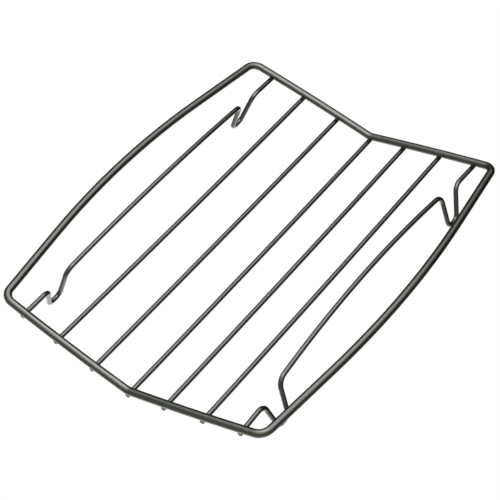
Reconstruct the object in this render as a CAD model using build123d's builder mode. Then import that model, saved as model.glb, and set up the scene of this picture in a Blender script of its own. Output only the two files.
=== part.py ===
"""Roasting rack: a shallow V of welded wire that holds a joint clear of the roasting tin.

Millimetres. +X runs across the rack, +Y along the crease of the V, +Z is up.
The origin lies on the table, midway between the four feet.
"""

import os
from math import asin, cos, radians, sin, sqrt, tan

from build123d import *

# Wire stock
frame_wire = 5.2  # diameter of the frame's wire over its coating
rod_wire = 3.2  # diameter of the five rods and the two foot wires over their coating
weld_sink = 0.6  # how far a spot weld presses a rod into the frame's underside
wire_end_round = 0.4  # tumbled edge at the cut ends of the thin wires

# Frame: one closed loop, folded along the crease
rack_length = 275.0  # along the crease, between the centres of the end rails
slope = 13.3  # how steeply each half rises from the crease, in degrees
half_width = 109.5  # from the crease to a side rail at mid-length, up the slope
side_radius = 640.0  # outward bow of a side rail's middle part
side_bow_half = 75.0  # half the length of that bowed part; the rest is straight
end_radius = 1790.0  # slight outward bow of the end rails
corner_radius = 7.6  # at the four corners of the loop
crease_radius = 9.5  # bend of an end rail where it crosses the crease

# Rods, by their distance from the crease up the slope
inner_rod_at = 26.5
outer_rod_at = 55.0
rod_overhang = 1.4  # from an end rail's centre to the cut end of a rod
rod_sag = 1.0  # how far a rod bows down at mid-length

# Foot wires: straight lead, foot, long arch, foot, straight lead
foot_wire_inset = 27.8  # from a side rail's widest place in to the foot wire, down the slope
foot_lean = 4.0  # degrees that the wire's plane leans in from square to the slope
lead_length = 23.3  # along the rack, from the weld to the first bend
lead_rise = 1.0
foot_top = 18.0  # width of a foot between its two upper bends
foot_rake = 6.7  # how far the outer leg slants in on its way down
foot_bottom = 10.1  # width of a foot between its two lower bends
foot_depth = 21.5  # from the welds down to the wire's centre at the foot
arch_spring = 4.8  # height of the arch's ends above the welds
arch_crown = 10.7  # height of its middle above the welds
lead_bend = 6.5
sole_bend = 4.6
spring_bend = 7.0

# What follows from those sizes
incline = radians(slope)
lean = radians(slope + foot_lean)
drop = frame_wire / 2 + rod_wire / 2 - weld_sink
half_length = rack_length / 2
foot_wire_at = half_width - foot_wire_inset
crease_run = crease_radius * tan(incline)
crease_lift = crease_radius / cos(incline) - crease_radius
crease_height = (
    foot_depth * cos(lean) + rod_wire / 2 + drop * cos(incline) - foot_wire_at * sin(incline)
)

# Corner of the flat loop: a circle touching the straight end of a side rail and the end rail's bow
side_angle = asin(side_bow_half / side_radius)
inward = Vector(-cos(side_angle), -sin(side_angle))
along = Vector(-sin(side_angle), cos(side_angle))
bow_end = Vector(half_width - side_radius * (1 - cos(side_angle)), side_bow_half)
end_centre = Vector(crease_run, half_length - end_radius)
offset = bow_end + inward * corner_radius - end_centre
reach = offset.dot(along)
travel = sqrt(reach**2 - offset.dot(offset) + (end_radius - corner_radius) ** 2) - reach
corner_centre = bow_end + inward * corner_radius + along * travel
corner_start = corner_centre - inward * corner_radius
corner_end = corner_centre + (corner_centre - end_centre).normalized() * corner_radius
corner_middle = (
    corner_centre
    + (corner_start + corner_end - corner_centre * 2).normalized() * corner_radius
)


def end_bow(run):
    """The point of an end rail's bow that lies this far up the slope from the crease bend."""
    return end_centre + Vector(run, sqrt(end_radius**2 - run**2))


def folded(side, end, flat, below=0.0):
    """A point of the flat loop in space; side picks the slope, end picks far or near."""
    return Vector(
        side * (flat.X * cos(incline) + below * sin(incline)),
        end * flat.Y,
        crease_height + flat.X * sin(incline) - below * cos(incline),
    )


def frame_loop():
    """The closed centre line of the frame, starting at the right side rail's near end."""
    bow_start = end_bow(0.0)
    bow_turn = asin((corner_end.X - crease_run) / end_radius)
    tangents_meet = bow_start + Vector(end_radius * tan(bow_turn / 2), 0.0)
    crease = Vector(0.0, half_length, crease_height + crease_lift)
    with BuildLine() as loop:
        for side in (1, -1):
            ThreePointArc(
                folded(side, -1, bow_end),
                folded(side, 1, Vector(half_width, 0.0)),
                folded(side, 1, bow_end),
            )
            for end in (1, -1):
                Line(folded(side, end, bow_end), folded(side, end, corner_start))
                ThreePointArc(
                    folded(side, end, corner_start),
                    folded(side, end, corner_middle),
                    folded(side, end, corner_end),
                )
                Bezier(
                    folded(side, end, corner_end),
                    folded(side, end, tangents_meet),
                    folded(side, end, bow_start),
                )
        for end in (1, -1):
            ThreePointArc(
                folded(1, end, bow_start),
                Vector(crease.X, end * crease.Y, crease.Z),
                folded(-1, end, bow_start),
            )
    return loop.wire()


with BuildPart() as frame:
    frame_path = frame_loop()
    upward = (-sin(incline), 0, cos(incline))
    with BuildSketch(Plane(origin=frame_path @ 0, x_dir=upward, z_dir=frame_path % 0)):
        Circle(frame_wire / 2)
    sweep(path=frame_path)
frame.part.label = "frame"


def thin_wire(path, label):
    """A thin wire along the path, its cut ends eased and seats left where the frame presses in."""
    with BuildPart() as wire:
        with BuildSketch(Plane(origin=path @ 0, x_dir=(0, 0, -1), z_dir=path % 0)):
            Circle(rod_wire / 2)
        sweep(path=path)
        fillet(wire.faces().filter_by(GeomType.PLANE).edges(), wire_end_round)
        add(frame.part, mode=Mode.SUBTRACT)
    wire.part.label = label
    return wire.part


def rod_path(side, at):
    """The slightly bowed centre line of a rod, welded below the end rails at its two ends."""
    if at == 0.0:
        weld = Vector(0.0, half_length, crease_height + crease_lift - drop)
    else:
        weld = folded(side, 1, end_bow(at - crease_run), drop)
    reach_out = weld.Y + rod_overhang
    with BuildLine() as path:
        Bezier(
            (weld.X, reach_out, weld.Z),
            (weld.X, 0.0, weld.Z - 2 * rod_sag),
            (weld.X, -reach_out, weld.Z),
        )
    return path.wire()


def foot_path(side):
    """The bent centre line of a foot wire, drawn in its own leaning plane: along, up."""
    weld = end_bow(foot_wire_at - crease_run)
    origin = folded(side, 1, Vector(foot_wire_at, 0.0), drop)
    plane = Plane(origin=origin, x_dir=(0, 1, 0), z_dir=(cos(lean), 0, side * sin(lean)))
    bend = weld.Y - lead_length
    tip_rise = -rod_overhang * lead_rise / lead_length
    half = [
        (weld.Y + rod_overhang, tip_rise),
        (bend, lead_rise),
        (bend - foot_rake, -foot_depth),
        (bend - foot_rake - foot_bottom, -foot_depth),
        (bend - foot_top, arch_spring),
    ]
    radii = [lead_bend, sole_bend, sole_bend, spring_bend]
    with BuildLine(plane) as path:
        Polyline(half)
        ThreePointArc(half[-1], (0.0, arch_crown), (-half[-1][0], half[-1][1]))
        Polyline([(-along_y, up) for along_y, up in reversed(half)])
        for (along_y, up), radius in zip(half[1:], radii):
            for end in (1, -1):
                corner = plane.from_local_coords((end * along_y, up))
                spot = path.vertices().sort_by_distance(corner)[0]
                fillet(spot, radius)
    return path.wire()


nodes = [thin_wire(rod_path(1, 0.0), "rod_crease")]
for name, side in (("right", 1), ("left", -1)):
    for kind, at in (("rod_inner", inner_rod_at), ("rod_outer", outer_rod_at)):
        nodes.append(thin_wire(rod_path(side, at), f"{kind}_{name}"))
    nodes.append(thin_wire(foot_path(side), f"foot_wire_{name}"))

os.makedirs("parts", exist_ok=True)
export_step(frame.part, "parts/frame.step")
for node in nodes:
    export_step(node, f"parts/{node.label}.step")
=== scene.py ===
# %% [markdown]
# # A wire roasting rack
# The rack is a shallow V of welded steel wire under one dark non-stick coating. The solids come
# from the CAD model and keep their size and place. What Blender adds is the finish: the coating,
# the small weld collars where two wires meet, and a bright studio like the one in the photograph.

import math

import bpy
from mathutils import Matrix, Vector


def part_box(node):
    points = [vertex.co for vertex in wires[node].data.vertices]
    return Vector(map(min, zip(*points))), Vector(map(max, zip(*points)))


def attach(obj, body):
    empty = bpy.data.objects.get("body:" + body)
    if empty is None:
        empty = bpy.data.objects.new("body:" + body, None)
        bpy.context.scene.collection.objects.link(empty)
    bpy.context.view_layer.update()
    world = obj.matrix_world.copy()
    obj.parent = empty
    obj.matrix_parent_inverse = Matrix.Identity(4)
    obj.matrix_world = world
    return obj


MM = 0.001
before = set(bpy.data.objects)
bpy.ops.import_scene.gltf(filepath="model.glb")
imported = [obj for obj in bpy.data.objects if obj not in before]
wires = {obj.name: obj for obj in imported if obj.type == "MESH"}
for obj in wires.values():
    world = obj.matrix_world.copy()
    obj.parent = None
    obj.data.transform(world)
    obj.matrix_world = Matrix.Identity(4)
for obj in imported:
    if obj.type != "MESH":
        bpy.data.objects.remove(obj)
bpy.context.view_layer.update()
print("wires:", sorted(wires))

# %% [markdown]
# ## A helper for picking
# Blender's operators act on everything that is selected, and the import leaves all the wires
# selected. So each modelling step first lets go of everything, and then picks what it needs by
# place.


# %% Letting go and picking by place
def let_go():
    """Leaves edit mode and deselects every object."""
    if bpy.context.object and bpy.context.object.mode != "OBJECT":
        bpy.ops.object.mode_set(mode="OBJECT")
    bpy.ops.object.select_all(action="DESELECT")


def pick_points(piece, rule):
    """Selects the piece's vertices whose place passes the rule, in edit mode, and counts them."""
    bpy.ops.mesh.select_mode(type="VERT")
    bpy.ops.mesh.select_all(action="DESELECT")
    bpy.ops.object.mode_set(mode="OBJECT")
    for point in piece.data.vertices:
        point.select = rule(point.co)
    picked = sum(point.select for point in piece.data.vertices)
    bpy.ops.object.mode_set(mode="EDIT")
    return picked


let_go()
print("selected now:", len(bpy.context.selected_objects))

# %% [markdown]
# ## The coating's grain
# A baked non-stick coat isn't quite even. It has a fine orange-peel surface, it dries a little
# lighter on some stretches than on others, and its gloss drifts with it. The thick and the thin
# wires both show this, each at its own scale. The nodes could be copied into each material, but
# then every change is made twice, so they are one node group that both finishes share. The group
# gives a colour, a roughness and a height. The shader itself stays in each material.

# %% The grain group's sockets
COLOUR, NUMBER = "NodeSocketColor", "NodeSocketFloat"
grain = bpy.data.node_groups.new("coating_grain", "ShaderNodeTree")
for in_out, name, kind in (
    ("INPUT", "Deep Colour", COLOUR),
    ("INPUT", "Thin Colour", COLOUR),
    ("INPUT", "Patch Scale", NUMBER),
    ("INPUT", "Peel Scale", NUMBER),
    ("INPUT", "Gloss Low", NUMBER),
    ("INPUT", "Gloss High", NUMBER),
    ("OUTPUT", "Colour", COLOUR),
    ("OUTPUT", "Roughness", NUMBER),
    ("OUTPUT", "Height", NUMBER),
):
    grain.interface.new_socket(name, in_out=in_out, socket_type=kind)
print("grain group sockets:", [socket.name for socket in grain.interface.items_tree])

# %% [markdown]
# Two noises do the work. A coarse one makes the patches, and drives colour and gloss together,
# as on the real coat. A fine one is the orange peel, and only gives a height.

# %% Patches and orange peel
PATCH_DETAIL, PEEL_DETAIL = 3.0, 2.0
PATCH_LOW, PATCH_HIGH = 0.3, 0.7  # the noise seldom leaves this range


def add_node(tree, kind, **values):
    """Adds a node and sets its inputs by name, with an underscore for each space in a name."""
    node = tree.nodes.new(kind)
    for name, value in values.items():
        node.inputs[name.replace("_", " ")].default_value = value
    return node


given = add_node(grain, "NodeGroupInput")
made = add_node(grain, "NodeGroupOutput")
place = add_node(grain, "ShaderNodeTexCoord")
patch = add_node(grain, "ShaderNodeTexNoise", Detail=PATCH_DETAIL)
peel = add_node(grain, "ShaderNodeTexNoise", Detail=PEEL_DETAIL)
spread = add_node(grain, "ShaderNodeMapRange", From_Min=PATCH_LOW, From_Max=PATCH_HIGH)
gloss = add_node(grain, "ShaderNodeMapRange", From_Min=PATCH_LOW, From_Max=PATCH_HIGH)
shade = add_node(grain, "ShaderNodeMix")
shade.data_type = "RGBA"
for source, target in (
    (place.outputs["Object"], patch.inputs["Vector"]),
    (place.outputs["Object"], peel.inputs["Vector"]),
    (given.outputs["Patch Scale"], patch.inputs["Scale"]),
    (given.outputs["Peel Scale"], peel.inputs["Scale"]),
    (patch.outputs["Fac"], spread.inputs["Value"]),
    (patch.outputs["Fac"], gloss.inputs["Value"]),
    (spread.outputs["Result"], shade.inputs["Factor"]),
    (given.outputs["Deep Colour"], shade.inputs["A"]),
    (given.outputs["Thin Colour"], shade.inputs["B"]),
    (given.outputs["Gloss Low"], gloss.inputs["To Min"]),
    (given.outputs["Gloss High"], gloss.inputs["To Max"]),
    (shade.outputs["Result"], made.inputs["Colour"]),
    (gloss.outputs["Result"], made.inputs["Roughness"]),
    (peel.outputs["Fac"], made.inputs["Height"]),
):
    grain.links.new(source, target)
print("grain group nodes:", len(grain.nodes))

# %% [markdown]
# ## The two finishes
# Thick and thin wire were dipped in the same coat, a dark satin charcoal with a hint of green.
# One material could serve both, but on a thin wire the grain is finer, so there are two, mixed
# by one function. The numbers that are the same all over the surface, such as the reflection's
# strength, go straight onto the shader.

# %% Mixing a finish
COAT_DEEP = (0.002, 0.0026, 0.0014, 1.0)
COAT_THIN = (0.0036, 0.0044, 0.0026, 1.0)
GLOSS_LOW, GLOSS_HIGH = 0.20, 0.27
COAT_IOR = 1.5
REFLECTION_TINT = (0.95, 1.0, 0.93, 1.0)
PEEL_DEPTH, PEEL_STRENGTH = 0.004 * MM, 0.25


def coat_finish(name, patch_scale, peel_scale):
    """A satin non-stick finish: a Principled shader fed by the grain group."""
    finish = bpy.data.materials.new(name)
    finish.use_nodes = True
    tree = finish.node_tree
    shader = tree.nodes["Principled BSDF"]
    shader.inputs["Metallic"].default_value = 0.0
    shader.inputs["IOR"].default_value = COAT_IOR
    shader.inputs["Specular Tint"].default_value = REFLECTION_TINT
    surface = tree.nodes.new("ShaderNodeGroup")
    surface.node_tree = grain
    for socket, value in (
        ("Deep Colour", COAT_DEEP),
        ("Thin Colour", COAT_THIN),
        ("Patch Scale", patch_scale),
        ("Peel Scale", peel_scale),
        ("Gloss Low", GLOSS_LOW),
        ("Gloss High", GLOSS_HIGH),
    ):
        surface.inputs[socket].default_value = value
    bump = add_node(tree, "ShaderNodeBump", Strength=PEEL_STRENGTH, Distance=PEEL_DEPTH)
    tree.links.new(surface.outputs["Colour"], shader.inputs["Base Color"])
    tree.links.new(surface.outputs["Roughness"], shader.inputs["Roughness"])
    tree.links.new(surface.outputs["Height"], bump.inputs["Height"])
    tree.links.new(bump.outputs["Normal"], shader.inputs["Normal"])
    return finish


frame_coat = coat_finish("frame_coat", patch_scale=45.0, peel_scale=1400.0)
rod_coat = coat_finish("rod_coat", patch_scale=70.0, peel_scale=1800.0)
print("finishes:", frame_coat.name, rod_coat.name)

# %% [markdown]
# ## The cut ends' painted highlight
# The fourteen cut ends of the thin wires get a painted highlight: their faces are coloured a
# little paler than the wires, as if they caught the light. They could each have a material
# of their own, but all of them lie on the end rails' bow: a point's distance along Y, plus the
# bow's sag at its X, is the same at every cut face. One mask finds them.

# %% Painted highlight on the cut faces
END_BOW = 1790 * MM  # radius of the end rails' bow
CUT_FACE = 138.9 * MM  # that distance along Y, at a cut face
HIGHLIGHT_STARTS, HIGHLIGHT_FULL = CUT_FACE - 0.25 * MM, CUT_FACE - 0.10 * MM
# the cut faces' colour is a painted highlight: paler than the coat, as if lit
PAINTED_HIGHLIGHT_COLOUR = (0.012, 0.0135, 0.011, 1.0)


def paint_highlight_on_cut_faces(finish):
    """Mixes a paler colour, a painted highlight, into the finish over the very end of each thin
    wire.
    """
    tree = finish.node_tree
    shader = tree.nodes["Principled BSDF"]
    coat_colour = shader.inputs["Base Color"].links[0].from_socket
    place = add_node(tree, "ShaderNodeTexCoord")
    split = add_node(tree, "ShaderNodeSeparateXYZ")
    along = add_node(tree, "ShaderNodeMath")
    along.operation = "ABSOLUTE"
    across = add_node(tree, "ShaderNodeMath")
    across.operation = "POWER"
    across.inputs[1].default_value = 2.0
    reach = add_node(tree, "ShaderNodeMath")
    reach.operation = "MULTIPLY_ADD"
    reach.inputs[1].default_value = 1 / (2 * END_BOW)
    highlight_mask = add_node(tree, "ShaderNodeMapRange", From_Min=HIGHLIGHT_STARTS, From_Max=HIGHLIGHT_FULL)
    shade = add_node(tree, "ShaderNodeMix")
    shade.data_type = "RGBA"
    # the painted highlight's colour, mixed in over the cut faces
    shade.inputs["B"].default_value = PAINTED_HIGHLIGHT_COLOUR
    for source, target in (
        (place.outputs["Object"], split.inputs["Vector"]),
        (split.outputs["Y"], along.inputs[0]),
        (split.outputs["X"], across.inputs[0]),
        (across.outputs["Value"], reach.inputs[0]),
        (along.outputs["Value"], reach.inputs[2]),
        (reach.outputs["Value"], highlight_mask.inputs["Value"]),
        (highlight_mask.outputs["Result"], shade.inputs["Factor"]),
        (coat_colour, shade.inputs["A"]),
        (shade.outputs["Result"], shader.inputs["Base Color"]),
    ):
        tree.links.new(source, target)


# paints the highlight onto the thin wires' cut ends
paint_highlight_on_cut_faces(rod_coat)
thin_wires = [name for name in sorted(wires) if name != "frame"]

# %% [markdown]
# ## Dressing the wires
# On the real rack the coat covers each wire all round. A finish could be given to single faces
# in edit mode, but here every solid takes just one: the frame its own, and the thin wires the
# one that also paints a highlight on their cut ends. What the solids came with is cleared first.

# %% Dressing the wires
for name, wire in wires.items():
    wire.data.materials.clear()
    wire.data.materials.append(frame_coat if name == "frame" else rod_coat)
print("coated:", {name: wire.data.materials[0].name for name, wire in wires.items()})

# %% [markdown]
# ## Where the welds are
# Each thin wire is spot-welded under both end rails. The fourteen places could be typed in, but
# the meshes hold them already: a wire's cut end stands a little past its weld, and the middle of
# the points at that end gives the wire's centre there. The wires left and right of the crease
# lean with their slope.

# %% Finding the welds
SLOPE = math.radians(13.3)
OVERHANG = 1.4 * MM  # from a weld to the cut end
ROD_RADIUS = 1.6 * MM
AT_CUT_END = 0.2 * MM  # points this near to the tip belong to the cut end
AT_CREASE = 1.0 * MM  # a wire this near to the middle is the crease's own


def weld_places():
    """The top of the wire under every spot weld, with its side of the crease and its end."""
    places = []
    for name in thin_wires:
        low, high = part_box(name)
        points = [point.co for point in wires[name].data.vertices]
        for end, tip in ((1, high.y), (-1, low.y)):
            cut_end = [point for point in points if abs(point.y - tip) < AT_CUT_END]
            middle = sum(cut_end, Vector()) / len(cut_end)
            side = 0 if abs(middle.x) < AT_CREASE else math.copysign(1, middle.x)
            up = Vector((-side * math.sin(SLOPE), 0, math.cos(SLOPE) if side else 1))
            weld = Vector((middle.x, tip - end * OVERHANG, middle.z)) + up * ROD_RADIUS
            places.append((weld, side, end))
    return places


welds = weld_places()
print("welds:", len(welds), "first at mm", [round(v / MM, 1) for v in welds[0][0]])

# %% [markdown]
# ## A weld collar
# A spot weld squeezes out a thin bead of metal all round the seat, and the coating rounds it off.
# Two crossed round wires meet in a saddle: seen from the rod's top, the seam dips where it runs
# down the rod's flanks. A torus is the right start. Its rings are lowered in edit mode by the
# square of the sine of their angle, which is that seam's own formula, then the torus is drawn out
# along the rod and moved in a little from the cut end.

# %% Modelling one collar
RINGS, RING_SIDES = 16, 8
BEAD = 0.30 * MM  # the bead's own radius
SEAT_ALONG_ROD, SEAT_ALONG_RAIL, SEAT_DIP = 1.66 * MM, 1.25 * MM, 0.60 * MM
FROM_CUT_END = 0.25 * MM
SAME_RING = 0.1  # radians, less than half the step between two rings
SOFTENING = 2  # subdivision levels


def off_rod(point):
    """The angle between a point of the ring and the rod's line, from none to a right angle."""
    turn = abs(math.atan2(point.x, point.y))
    return min(turn, math.pi - turn)


let_go()
bpy.ops.mesh.primitive_torus_add(
    major_segments=RINGS,
    minor_segments=RING_SIDES,
    major_radius=SEAT_ALONG_RAIL,
    minor_radius=BEAD,
    location=(0, 0, 0),
)
collar = bpy.context.object
collar.name = "weld_collar"
bpy.ops.object.mode_set(mode="EDIT")
lowered = 0
for step in range(1, RINGS // 4 + 1):
    angle = 2 * math.pi * step / RINGS
    lowered += pick_points(collar, lambda p: abs(off_rod(p) - angle) < SAME_RING)
    bpy.ops.transform.translate(value=(0, 0, -SEAT_DIP * math.sin(angle) ** 2))
bpy.ops.mesh.select_all(action="SELECT")
stretch = SEAT_ALONG_ROD / SEAT_ALONG_RAIL
bpy.ops.transform.resize(value=(1, stretch, 1), center_override=(0, 0, 0))
bpy.ops.transform.translate(value=(0, -FROM_CUT_END, 0))
bpy.ops.object.mode_set(mode="OBJECT")
soft = collar.modifiers.new("soft", "SUBSURF")
soft.levels = soft.render_levels = SOFTENING
bpy.ops.object.modifier_apply(modifier="soft")
bpy.ops.object.shade_smooth()
collar.data.materials.append(frame_coat)
print("collar points lowered:", lowered, "faces:", len(collar.data.polygons))

# %% [markdown]
# ## One collar at each weld
# The collar is modelled once and copied. An array would need even gaps, which the welds don't
# have. At the near end each copy is turned round, so that its short side faces the cut end there
# too. It leans with its slope, moves to its weld, and has its place applied to its own mesh, so
# that the object itself stays at the origin.

# %% Placing the collars
for count, (weld, side, end) in enumerate(welds):
    let_go()
    collar.select_set(True)
    bpy.context.view_layer.objects.active = collar
    bpy.ops.object.duplicate()
    copy = bpy.context.object
    copy.name = f"weld_collar_{count + 1:02d}"
    copy.rotation_euler = (0, -side * end * SLOPE, 0 if end == 1 else math.pi)
    copy.location = weld
    bpy.ops.object.transform_apply(location=True, rotation=True, scale=True)
    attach(copy, "root")
bpy.data.objects.remove(collar)
print("collars placed:", len(welds))

# %% [markdown]
# ## The table
# The photograph's table is so bright that it comes out plain white, without a shadow. A white
# floor under strong lamps would still take a shadow. So the floor glows for the camera alone and
# lets every other ray through to the room: if the wires mirrored that glow at flat angles too,
# their dark lower halves would turn grey.

# %% Floor
TABLE_WIDTH = 14.0

let_go()
bpy.ops.mesh.primitive_plane_add(size=TABLE_WIDTH, location=(0, 0, 0))
floor = bpy.context.object
floor.name = "white_table"
table_glow = bpy.data.materials.new("table_glow")
table_glow.use_nodes = True
table_tree = table_glow.node_tree
table_tree.nodes.remove(table_tree.nodes["Principled BSDF"])
glow = add_node(table_tree, "ShaderNodeEmission")
clear = add_node(table_tree, "ShaderNodeBsdfTransparent")
ray_kind = add_node(table_tree, "ShaderNodeLightPath")
seen = add_node(table_tree, "ShaderNodeMixShader")
table_end = table_tree.nodes["Material Output"]
table_tree.links.new(ray_kind.outputs["Is Camera Ray"], seen.inputs["Fac"])
table_tree.links.new(clear.outputs["BSDF"], seen.inputs[1])
table_tree.links.new(glow.outputs["Emission"], seen.inputs[2])
table_tree.links.new(seen.outputs["Shader"], table_end.inputs["Surface"])
floor.data.materials.append(table_glow)
print("table width in m:", floor.dimensions.x)

# %% [markdown]
# ## The softbox
# A round, dark, glossy wire is a small mirror: from its upper edge to its lower edge it shows the
# studio from the back wall over the ceiling down to the table. The pale streak along each wire is
# a picture of the softbox. That is brightest in its middle and fades outward, so three round
# panels hang one under another and their light adds up. They keep a centimetre between them,
# because a ray that meets two lamps in the same plane sees only one.

# %% Three panels that face down
for name, hang_at, radius, brightness in (
    ("core", (-0.01, -0.10, 0.69), 0.21, 4.5),
    ("middle", (-0.01, 0.09, 0.70), 0.50, 4.1),
    ("rim", (-0.01, 0.04, 0.71), 0.94, 2.6),
):
    let_go()
    bpy.ops.object.light_add(type="AREA", location=hang_at)
    panel = bpy.context.object
    panel.name = "softbox_" + name
    panel.data.shape = "DISK"
    panel.data.size = 2 * radius
    panel_area = math.pi * radius**2
    panel.data.energy = brightness * math.pi * panel_area
    print(panel.name, round(panel.data.energy, 1), "W")

# %% [markdown]
# ## The surroundings
# Past the softbox the room is dim, lighter on the photographer's side than behind the rack. The
# lower halves of the wires mirror it: the end rails catch the lighter side, and the side rails
# and rods the darker one. Walls could be built for this, but a background whose strength grows
# along one direction does the same with three nodes.

# %% Dim room
LIGHTER_SIDE = (0.22, -0.80, 0.11)
ROOM_AVERAGE, ROOM_LEAST = 0.49, 0.02
ROOM_COLOUR = (0.94, 1.0, 0.87, 1.0)
room = bpy.data.worlds.new("dim_room")
bpy.context.scene.world = room
room.use_nodes = True
room_tree = room.node_tree
direction = add_node(room_tree, "ShaderNodeTexCoord")
lighter = add_node(room_tree, "ShaderNodeVectorMath")
lighter.operation = "DOT_PRODUCT"
lighter.inputs[1].default_value = LIGHTER_SIDE
average = add_node(room_tree, "ShaderNodeMath")
average.operation = "ADD"
average.inputs[1].default_value = ROOM_AVERAGE
never_black = add_node(room_tree, "ShaderNodeMath")
never_black.operation = "MAXIMUM"
never_black.inputs[1].default_value = ROOM_LEAST
dim = room_tree.nodes["Background"]
dim.inputs["Color"].default_value = ROOM_COLOUR
room_tree.links.new(direction.outputs["Generated"], lighter.inputs[0])
room_tree.links.new(lighter.outputs["Value"], average.inputs[0])
room_tree.links.new(average.outputs["Value"], never_black.inputs[0])
room_tree.links.new(never_black.outputs["Value"], dim.inputs["Strength"])
print("room lighter towards:", LIGHTER_SIDE)

# %% [markdown]
# Straight down it is bright again: that is the white table, which the steep legs of the feet
# mirror, most of all the left pair that the camera looks along. The camera itself sees white past
# the table's edge.

# %% The table's light from below
WHITE = (1.0, 1.0, 1.0, 1.0)
TABLE_FAINT, TABLE_FULL = -0.55, -0.85  # height of the direction, from level at 0 to down at -1
TABLE_LIGHT = 1.8
height = add_node(room_tree, "ShaderNodeSeparateXYZ")
steepness = add_node(
    room_tree,
    "ShaderNodeMapRange",
    From_Min=TABLE_FAINT,
    From_Max=TABLE_FULL,
    To_Max=TABLE_LIGHT,
)
steepness.interpolation_type = "SMOOTHSTEP"
below = add_node(room_tree, "ShaderNodeBackground", Color=WHITE)
both = add_node(room_tree, "ShaderNodeAddShader")
white = add_node(room_tree, "ShaderNodeBackground", Color=WHITE)
who_looks = add_node(room_tree, "ShaderNodeLightPath")
choice = add_node(room_tree, "ShaderNodeMixShader")
room_end = room_tree.nodes["World Output"]
for source, target in (
    (direction.outputs["Generated"], height.inputs["Vector"]),
    (height.outputs["Z"], steepness.inputs["Value"]),
    (steepness.outputs["Result"], below.inputs["Strength"]),
    (dim.outputs["Background"], both.inputs[0]),
    (below.outputs["Background"], both.inputs[1]),
    (who_looks.outputs["Is Camera Ray"], choice.inputs["Fac"]),
    (both.outputs["Shader"], choice.inputs[1]),
    (white.outputs["Background"], choice.inputs[2]),
    (choice.outputs["Shader"], room_end.inputs["Surface"]),
):
    room_tree.links.new(source, target)
bpy.context.scene.view_settings.view_transform = "Standard"
print("light from straight below:", TABLE_LIGHT)

# %% [markdown]
# ## The camera
# The place of the camera was worked out from the photograph: it looks down at about 46 degrees,
# from the near right corner, through a long lens. It could be dragged into place by eye, but
# building it from its direction keeps those numbers in view.

# %% Camera
AZIMUTH, ELEVATION = math.radians(34.38), math.radians(45.577)
DISTANCE = 1095.54 * MM
TARGET = Vector((-6.449, 0.377, 6.835)) * MM
SENSOR_WIDTH = 36.0
FOCAL_LENGTH, PICTURE_WIDTH = 1701.305, 500  # both in pixels of the photograph
NEAREST_SEEN = 0.05
back = Vector(
    (
        math.sin(AZIMUTH) * math.cos(ELEVATION),
        -math.cos(AZIMUTH) * math.cos(ELEVATION),
        math.sin(ELEVATION),
    )
)
let_go()
bpy.ops.object.camera_add(location=TARGET + back * DISTANCE)
camera = bpy.context.object
camera.name = "camera"
camera.rotation_mode = "QUATERNION"
camera.rotation_quaternion = (-back).to_track_quat("-Z", "Y")
camera.data.sensor_width = SENSOR_WIDTH
camera.data.lens = SENSOR_WIDTH * FOCAL_LENGTH / PICTURE_WIDTH
camera.data.clip_start = NEAREST_SEEN
bpy.context.scene.camera = camera
print("lens in mm:", round(camera.data.lens, 1))
